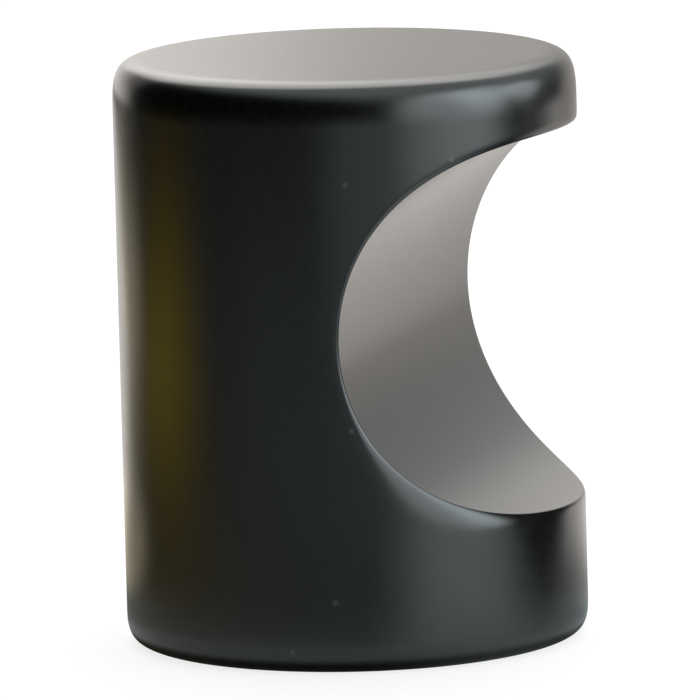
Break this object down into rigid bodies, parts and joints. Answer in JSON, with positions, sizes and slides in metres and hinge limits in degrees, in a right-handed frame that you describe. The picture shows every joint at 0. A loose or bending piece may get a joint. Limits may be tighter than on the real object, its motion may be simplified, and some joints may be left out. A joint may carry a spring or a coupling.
{
  "type": "cabinet knob",
  "caption": "Cylindrical satin-black cabinet knob with rounded ends, a finger scoop milled across one side and a tapped screw hole in the base.",
  "frame": {"origin": "centre of the flat base, which seats on the door or drawer front", "axes": "+Z along the knob's axis, away from the front; +X out of the finger scoop; +Y along the scoop"},
  "size_m": [0.022, 0.022, 0.028],
  "materials": {
    "black_coat": "satin black coating on machined metal"
  },
  "bodies": {
    "root": {"knob_body": "black_coat"}
  },
  "joints": []
}
